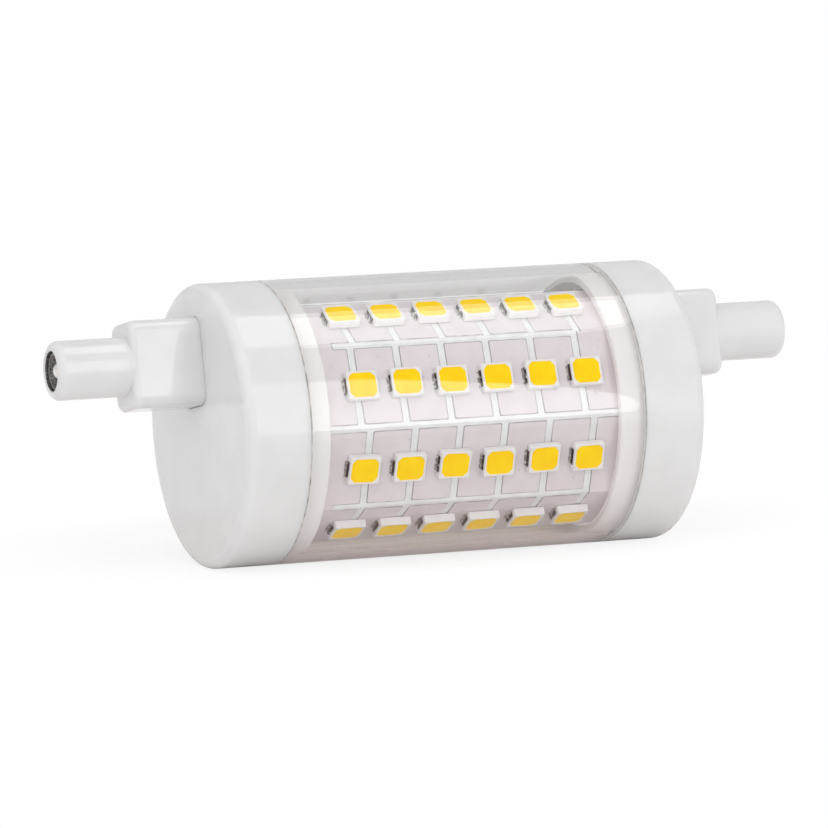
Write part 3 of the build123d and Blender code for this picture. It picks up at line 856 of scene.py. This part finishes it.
def rows_tree():
    """Geometry Nodes that repeat a pattern along every facet."""
    tree = bpy.data.node_groups.new("rows on facets", "GeometryNodeTree")
    for name, kind in TREE_INPUTS:
        tree.interface.new_socket(name, in_out="INPUT", socket_type="NodeSocket" + kind)
    tree.interface.new_socket("Geometry", in_out="OUTPUT", socket_type="NodeSocketGeometry")
    flow = Flow(tree)
    given = flow.node("NodeGroupInput").other
    index = flow.node("GeometryNodeInputIndex")
    column = index % given("In Row")
    row = (index - column) / given("In Row")
    points = flow.node("GeometryNodePoints", sockets={
        "Count": given("In Row") * given("Rows"),
        "Position": vector(flow, X=given("First") + given("Pitch") * column),
    })
    pattern = flow.node("GeometryNodeObjectInfo", sockets={"Object": given("Pattern")}, output="Geometry")
    copies = flow.node("GeometryNodeInstanceOnPoints", sockets={
        "Points": points, "Instance": pattern,
        "Rotation": rotation(flow, X=given("First Turn") + given("Row Turn") * row),
    })
    slide = vector(
        flow, X=random_share(given("Seed")) * given("Shift"),
        Y=random_share(given("Seed") + 1) * given("Shift"),
    )
    moved = flow.node("GeometryNodeTranslateInstances", sockets={
        "Instances": copies, "Translation": slide, "Local Space": True,
    })
    spun = flow.node("GeometryNodeRotateInstances", sockets={
        "Instances": moved, "Local Space": True,
        "Rotation": rotation(flow, Z=random_share(given("Seed") + 3) * given("Spin")),
    })
    real = flow.node("GeometryNodeRealizeInstances", sockets={"Geometry": spun})
    finished = flow.node("GeometryNodeSetMaterial", sockets={
        "Geometry": real, "Material": given("Material"),
    })
    flow.node("NodeGroupOutput", sockets={"Geometry": finished})
    return tree


rows = rows_tree()
print("row tree of", len(rows.nodes), "nodes")

# %% Turn a pattern into a piece


def set_out(name, pattern, material, **changes):
    """Runs the row tree for one pattern and keeps the result as a plain mesh."""
    values = {
        "Pattern": pattern, "Material": material, "First": first_led, "Pitch": led_pitch,
        "In Row": LEDS_IN_ROW, "Rows": ROWS, "First Turn": row_turn(1), "Row Turn": FACET_ANGLE,
        "Shift": 0.0, "Spin": 0.0, "Seed": 7,
    }
    values.update(changes)
    piece = put(name, bpy.data.meshes.new(name))
    modifier = piece.modifiers.new("rows", "NODES")
    modifier.node_group = rows
    for item in rows.interface.items_tree:
        if item.in_out == "INPUT":
            modifier[item.identifier] = values[item.name]
    evaluated = piece.evaluated_get(bpy.context.evaluated_depsgraph_get())
    mesh = bpy.data.meshes.new_from_object(evaluated)
    piece.modifiers.clear()
    piece.data = mesh
    mesh.name = name
    bpy.data.objects.remove(pattern)
    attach(piece, "root")
    print(name, len(mesh.polygons), "faces")
    return piece


print("a pattern goes to", ROWS * LEDS_IN_ROW, "places, unless its changes say otherwise")

# %% [markdown]
# ## Finish of the board
# White solder mask covers the sheet. It looks pinkish over copper and bluish over the bare core. Along the
# copper's edges it is dark, partly where it is thin and partly as painted shade for each step's shadow. The
# shears streaked the cut edges, and a dark broken strip runs along the mask there. An image could mark
# these places. Here the tiles' sloping faces carry an attribute, and the dark strips go by the distance
# from the cut edges.

# %% Mask over the copper


def solder_mask():
    """White mask over copper, dark along the copper's edges, partly where it is thin and partly as painted
    shade for the step's shadow.
    """
    material, place = new_finish("solder_mask_on_copper")
    cloud = noise(place, 420, 4.0, 0.6)
    over_copper = cloud.mottled((0.72, 0.66, 0.68, 1), (0.77, 0.715, 0.735, 1))
    edge = place.node("ShaderNodeAttribute", {"attribute_name": "copper_edge"}, output="Fac")
    specks = noise(place, 2600, 1.0).step(0.72, 0.76)
    broken = noise(place, 700, 2.0).step(0.35, 0.6, 0.45, 1.0)
    # painted shade: the edge line is partly thin mask and partly the steps' shadow; the specks are dirt
    edge_shade_and_dirt = (edge * broken).largest(specks * 0.4)
    grain = noise(place, 5200, 2.0) * 3e-6
    return principled(material, {
        "Base Color": edge_shade_and_dirt.blend(over_copper, (0.33, 0.30, 0.31, 1)), "Roughness": cloud * 0.2 + 0.32,
        "IOR": 1.5, "Normal": raised(grain),
    })


mask = solder_mask()
print("islands' finish:", mask.name)

# %% Mask and bare metal of the sheet
DARK_STRIP_WIDTH = 0.12 * MM


def dark_edge_strips(place):
    """The strips of mask along the sheet's two cut edges."""
    y, z = place.axes()[1:]
    strips = []
    for row, side in ((1, 1), (ROWS, -1)):
        turn = row_turn(row)
        to_edge = side * (y * cos(turn) + z * sin(turn))
        level = z * cos(turn) - y * sin(turn)
        on_facet = level.step(facet_distance - 2 * SHEET_THICKNESS, facet_distance - SHEET_THICKNESS)
        strips.append(to_edge.step(FREE_EDGE - DARK_STRIP_WIDTH, FREE_EDGE) * on_facet)
    return strips[0].largest(strips[1])


def bare_mask():
    """White mask straight on the core, in the gaps between the islands, with a dark broken strip along each
    cut edge.
    """
    material, place = new_finish("solder_mask_on_core")
    cloud = noise(place, 900, 4.0, 0.6)
    whole = cloud.mottled((0.77, 0.77, 0.775, 1), (0.85, 0.86, 0.865, 1))
    dark_edge_marks = dark_edge_strips(place) * noise(place, 500, 3.0).step(0.35, 0.55)
    grain = noise(place, 3600, 3.0) * 8e-6
    return principled(material, {
        "Base Color": dark_edge_marks.blend(whole, (0.10, 0.09, 0.09, 1)), "Roughness": cloud * 0.2 + 0.35,
        "IOR": 1.5, "Normal": raised(grain),
    })


def cut_core():
    """Bare metal of the cut edges, streaked by the shears."""
    material, place = new_finish("cut_core")
    streaks = noise(place, 1300, 4.0, 0.7)
    return principled(material, {
        "Base Color": streaks.step(0.36, 0.5).blend((0.10, 0.09, 0.09, 1), (0.86, 0.86, 0.87, 1)),
        "Roughness": streaks * 0.3 + 0.2, "Metallic": 0.6, "Normal": raised(streaks * 8e-6),
    })


for material in (
    bare_mask(), cut_core(),
    speckled("rolled_core", (0.66, 0.66, 0.67), 800, 0.1, 0.4, 0.9, 2e-6),
):
    sheet.data.materials.append(material)
    print("on the sheet:", material.name)
end_tiles.data.materials.append(mask)
for piece in (sheet, end_tiles):
    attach(piece, "root")
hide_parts("led_board")

# %% Set out the islands between the LEDs
for row in range(1, ROWS + 1):
    bm = bmesh.new()
    tile(bm, middle_tile, row)
    pattern = keep_mesh("tile_pattern", bm, BOARD_CREASE)
    set_out(f"copper_tiles_row_{row}", pattern, mask, **{
        "First": first_led + led_pitch / 2 + gap_shift(row), "In Row": LEDS_IN_ROW - 1,
        "Rows": 1, "First Turn": row_turn(row),
    })

# %% [markdown]
# ## LEDs
# Each LED is a white moulded cup with a yellow phosphor in its window and a metal terminal at each end,
# soldered to the copper. A box with bevels would come close, but its window has clipped corners. So the cup
# is a loft of rounded outlines, whose rim and corners are soft, and the phosphor is a shallow lens in it.

# %% One LED, facing up
LED_WIDTH = 2.85 * MM
LED_HEIGHT = 0.75 * MM
LED_DRAFT = radians(3)
LED_CORNER = 0.16 * MM
LED_CREASE = radians(38)
RIM_ROUND = 0.06 * MM
RIM_MIDDLE = 0.3 * RIM_ROUND  # from the sides to the point half way round the rim
FOOT_GAP = 0.05 * MM  # the dark line under each LED
FOOT_INSET = 0.1 * MM
WINDOW_LENGTH = 2.8 * MM
WINDOW_WIDTH = 2.4 * MM
WINDOW_CLIP = 0.45 * MM
WINDOW_ROUNDNESS = 0.1
WINDOW_DEPTH = 0.35 * MM
WINDOW_LEAD_IN = 0.03 * MM
WINDOW_TAPER = 0.08 * MM
PHOSPHOR_SUNK = 0.03 * MM
PHOSPHOR_TAPER = 0.09 * MM
PHOSPHOR_FIT = 0.005 * MM
PHOSPHOR_DISH = 0.02 * MM
DISH_RINGS = ((0.12 * MM, 0.7), (0.45 * MM, 1.0))  # inset, and share of the dish's depth there
CORNER_STEPS = 5

led_top = facet_distance + LED_HEIGHT
phosphor_level = led_top - PHOSPHOR_SUNK


def cornered_ring(length, width, corner, roundness, level):
    """A rectangle whose corners go from straight clips, at roundness 0, to arcs, at 1."""
    ring = []
    for k, (sx, sy) in enumerate(((1, 1), (-1, 1), (-1, -1), (1, -1))):
        centre = Vector((sx * (length / 2 - corner), sy * (width / 2 - corner)))
        start, end = (Vector((cos(a), sin(a))) for a in (k * pi / 2, (k + 1) * pi / 2))
        for i in range(CORNER_STEPS + 1):
            t = i / CORNER_STEPS
            arc = Vector((cos((k + t) * pi / 2), sin((k + t) * pi / 2)))
            at = centre + corner * start.lerp(end, t).lerp(arc, roundness)
            ring.append((at.x, at.y, level))
    return ring


def window_ring(inset, level):
    length, width = WINDOW_LENGTH - 2 * inset, WINDOW_WIDTH - 2 * inset
    return cornered_ring(length, width, WINDOW_CLIP, WINDOW_ROUNDNESS, level)


def housing_ring(level, drawn_in=0.0):
    slope = 2 * (level - facet_distance) * tan(LED_DRAFT) + 2 * drawn_in
    return cornered_ring(LED_LENGTH - slope, LED_WIDTH - slope, LED_CORNER, 1.0, level)


bm = bmesh.new()
loft(bm, [
    housing_ring(facet_distance, FOOT_INSET), housing_ring(facet_distance + FOOT_GAP, FOOT_INSET),
    housing_ring(facet_distance + FOOT_GAP), housing_ring(led_top - RIM_ROUND),
    housing_ring(led_top - RIM_MIDDLE, RIM_MIDDLE), housing_ring(led_top, RIM_ROUND),
    window_ring(-WINDOW_LEAD_IN, led_top), window_ring(0.0, phosphor_level),
    window_ring(WINDOW_TAPER, led_top - WINDOW_DEPTH),
])
housing = keep_mesh("housing_pattern", bm, LED_CREASE)

bm = bmesh.new()
loft(bm, [
    window_ring(PHOSPHOR_TAPER, led_top - WINDOW_DEPTH), window_ring(PHOSPHOR_FIT, phosphor_level),
    *[window_ring(inset, phosphor_level - PHOSPHOR_DISH * share) for inset, share in DISH_RINGS],
])
phosphor = keep_mesh("phosphor_pattern", bm, LED_CREASE)
print("housing of", len(housing.data.polygons), "faces, phosphor of", len(phosphor.data.polygons))

# %% Terminals and solder of one LED
LEAD_ROOT = 0.12 * MM  # inside the housing
LEAD_PROUD = 0.072 * MM
LEAD_WIDTH = 1.6 * MM
LEAD_HEIGHT = 0.38 * MM
LEAD_FOOT = 0.12 * MM
LEAD_BEVEL = 0.03 * MM
SOLDER_START = 0.06 * MM  # from the housing's end
SOLDER_REACH = 0.2 * MM
SOLDER_HEIGHT = 0.2 * MM
SOLDER_STEPS = 5
SOLDER_SECTIONS = ((-0.5, 0.7), (-0.42, 1.0), (0.42, 1.0), (0.5, 0.7))  # shares of width and full section
TERMINAL_CREASE = radians(40)


def bevelled_box(bm, low, high, bevel):
    """A box from its lowest corner to its highest, with its edges taken off."""
    middle = (Vector(low) + Vector(high)) / 2
    size = Vector(high) - Vector(low)
    place = Matrix.Translation(middle) @ Matrix.Diagonal((*size, 1))
    made = bmesh.ops.create_cube(bm, size=1.0, matrix=place)
    edges = {edge for vert in made["verts"] for edge in vert.link_edges}
    bmesh.ops.bevel(bm, geom=list(edges), offset=bevel, segments=2, profile=0.6, affect="EDGES")


def solder_fillet(bm, sign):
    """A wedge of solder with a hollow face, between a terminal and the copper."""
    base = sign * (LED_LENGTH / 2 + SOLDER_START)
    profile = []
    for i in range(SOLDER_STEPS + 1):
        t = i / SOLDER_STEPS
        profile.append((base + sign * SOLDER_REACH * t, facet_distance + SOLDER_HEIGHT * (1 - t) ** 2))
    profile.append((base, facet_distance))
    loft(bm, [
        [
            (base + (x - base) * share, v * LEAD_WIDTH, facet_distance + (z - facet_distance) * share)
            for x, z in profile
        ]
        for v, share in SOLDER_SECTIONS
    ])


bm = bmesh.new()
for sign in (-1, 1):
    near, far = sorted((sign * (LED_LENGTH / 2 - LEAD_ROOT), sign * (LED_LENGTH / 2 + LEAD_PROUD)))
    bevelled_box(
        bm, (near, -LEAD_WIDTH / 2, facet_distance + LEAD_FOOT),
        (far, LEAD_WIDTH / 2, facet_distance + LEAD_FOOT + LEAD_HEIGHT), LEAD_BEVEL,
    )
leads = keep_mesh("lead_pattern", bm, TERMINAL_CREASE)

bm = bmesh.new()
for sign in (-1, 1):
    solder_fillet(bm, sign)
solder = keep_mesh("solder_pattern", bm, TERMINAL_CREASE)
print("leads of", len(leads.data.polygons), "faces, solder of", len(solder.data.polygons))

# %% [markdown]
# ## Finishes of the LEDs
# The cups are white resin. The phosphor is yellow grains in clear silicone, and the terminals are plated
# copper gone brown, with solder at their feet. The phosphor turns the blue part of the light into yellow.
# A true model would follow that light from grain to grain. A weak yellow glow looks much the same.

# %% Finishes of the LEDs


def led_white():
    """White resin of the cups."""
    material, place = new_finish("led_white")
    cloud = noise(place, 1500, 3.0)
    grain = noise(place, 9000, 2.0) * 1.5e-6
    return principled(material, {
        "Base Color": cloud.mottled((0.80, 0.775, 0.765, 1), (0.86, 0.84, 0.83, 1)),
        "Roughness": cloud * 0.2 + 0.35, "IOR": 1.5, "Normal": raised(grain),
    })


def phosphor_yellow():
    """Phosphor grains in clear silicone: strong yellow, deeper in places, with a weak glow."""
    material, place = new_finish("phosphor_yellow")
    grains = noise(place, 6500, 3.0, 0.6)
    patches = noise(place, 700, 1.0)
    tone = (grains * 0.4 + patches * 0.6).step(*PIT_RANGE).blend(
        (0.95, 0.60, 0.001, 1), (0.98, 0.68, 0.004, 1)
    )
    return principled(material, {
        "Base Color": tone, "Roughness": grains * 0.15 + 0.3, "IOR": 1.41, "Specular IOR Level": 0.08,
        "Normal": raised(grains * 3e-6), "Emission Color": (1.0, 0.55, 0.0, 1), "Emission Strength": 0.1,
    })


def terminal_metal(name, dull, glints):
    """Plated copper gone brown, or solder: dull, with bright metal spots painted in as glints."""
    material, place = new_finish(name)
    streaks = noise(place, 2600, 1.0, 0.5)
    # painted highlight: the bright metal spots stand for glints
    glint_spots = streaks.step(*glints)
    return principled(material, {
        "Base Color": glint_spots.blend(shade(dull, 1.0), (0.78, 0.76, 0.74, 1)),
        "Roughness": streaks * 0.3 + 0.2, "Metallic": glint_spots * 0.8, "Specular IOR Level": 0.12,
        "Normal": raised(streaks * 8e-6),
    })


brown_metal = terminal_metal("lead_metal", (0.035, 0.017, 0.012), (0.6, 0.72))
solder_metal = terminal_metal("solder_metal", (0.30, 0.27, 0.25), (0.45, 0.65))
print("terminals' finishes:", brown_metal.name, solder_metal.name)

# %% Set out the LEDs
LED_SHIFT = 0.05 * MM
LED_SPIN = radians(1.6)
LED_SEED = 11

for name, pattern, material, slot, replaced in (
    ("led_housings", housing, led_white(), "led_housing", "led_housings_row_"),
    ("led_phosphors", phosphor, phosphor_yellow(), "led_phosphor", "led_phosphors_row_"),
    ("led_leads", leads, brown_metal, "led_lead", "led_leads_row_"),
    ("led_solder", solder, solder_metal, "led_lead", None),
):
    piece = set_out(
        name, pattern, material, **{"Shift": LED_SHIFT, "Spin": LED_SPIN, "Seed": LED_SEED}
    )
    if replaced:
        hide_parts(*[replaced + str(row) for row in range(1, ROWS + 1)])

# %% [markdown]
# ## Floor
# The lamp lies on a plain pale disc. Seen by the camera, in gloss or through the tube, the disc far from
# the lamp is white like the horizon, and close to the lamp some of the real shaded surface shows, so the
# lamp keeps its shadow. The tube and the caps mirror the floor in front of and under the lamp. For those
# rays the floor has a darker tone in front, and a pinkish tone under the lamp, which is painted light for
# light bounced off the board. A second floor, hidden from the camera, could do that. One material that
# knows which ray meets it needs no second floor.

# %% Floor
FLOOR_RADIUS = 2.5
FLOOR_STEPS = 128
FLOOR_CREASE = radians(30)
FLOOR_TONE = (0.95, 0.94, 0.94, 1)
SHADOW_REACH = (46 * MM, 22 * MM)  # half lengths of the shaded patch along and across the lamp
SHADOW_BEHIND = 12 * MM
SHADOW_FADE = (0.6, 1.15)  # shares of the way to the patch's edge
SHADOW_WHITE = 0.8  # share of white that is left in the middle of the patch
MIRRORED_REACH = (150 * MM, 75 * MM)  # half lengths of the darker patch that the tube mirrors
MIRRORED_MIDDLE = -38 * MM  # Y of that patch
MIRRORED_FADE = (0.93, 1.0)
MIRRORED_WHITE = 0.1
# painted light: the pinkish tone stands for light bounced off the board onto the floor under the lamp
UNDER_TONE_PAINTED_BOUNCE = (0.95, 0.83, 0.82, 1)
FRONT_TONE = (0.30, 0.25, 0.24, 1)
FRONT_TO_UNDER = (-26 * MM, -12 * MM)  # Y where one tone goes over into the other

bm = bmesh.new()
bmesh.ops.create_circle(bm, cap_ends=True, segments=FLOOR_STEPS, radius=FLOOR_RADIUS)
floor = keep_mesh("floor", bm, FLOOR_CREASE)
floor.data.transform(Matrix.Translation((0, 0, cad_box[0][2])))

material, place = new_finish("pale_floor")
along, across = place.axes()[:2]


def away(middle, half_lengths):
    """How far a place is from the middle of an ellipse on the floor, 1 being on its edge."""
    return (along / half_lengths[0]).hypotenuse((across - middle) / half_lengths[1])


path = place.node("ShaderNodeLightPath", output="Is Camera Ray")
mirrored = path.other("Is Glossy Ray").largest(path.other("Is Transmission Ray"))
white = place.node("ShaderNodeEmission", sockets={"Color": (1, 1, 1, 1), "Strength": 1.0})
mirrored_tone_and_bounce = across.step(*FRONT_TO_UNDER).blend(FRONT_TONE, UNDER_TONE_PAINTED_BOUNCE)
pale = place.node("ShaderNodeBsdfDiffuse", sockets={"Color": mirrored.blend(FLOOR_TONE, mirrored_tone_and_bounce)})
seen_white = path * away(SHADOW_BEHIND, SHADOW_REACH).step(*SHADOW_FADE, SHADOW_WHITE, 1.0)
mirrored_white = mirrored * away(MIRRORED_MIDDLE, MIRRORED_REACH).step(*MIRRORED_FADE, MIRRORED_WHITE, 1.0)
share = seen_white.largest(mirrored_white)
close_finish(material, place.node("ShaderNodeMixShader", sockets={0: share, 1: pale, 2: white}))
floor.data.materials.append(material)
print("floor at", round(cad_box[0][2] / MM, 2), "mm")
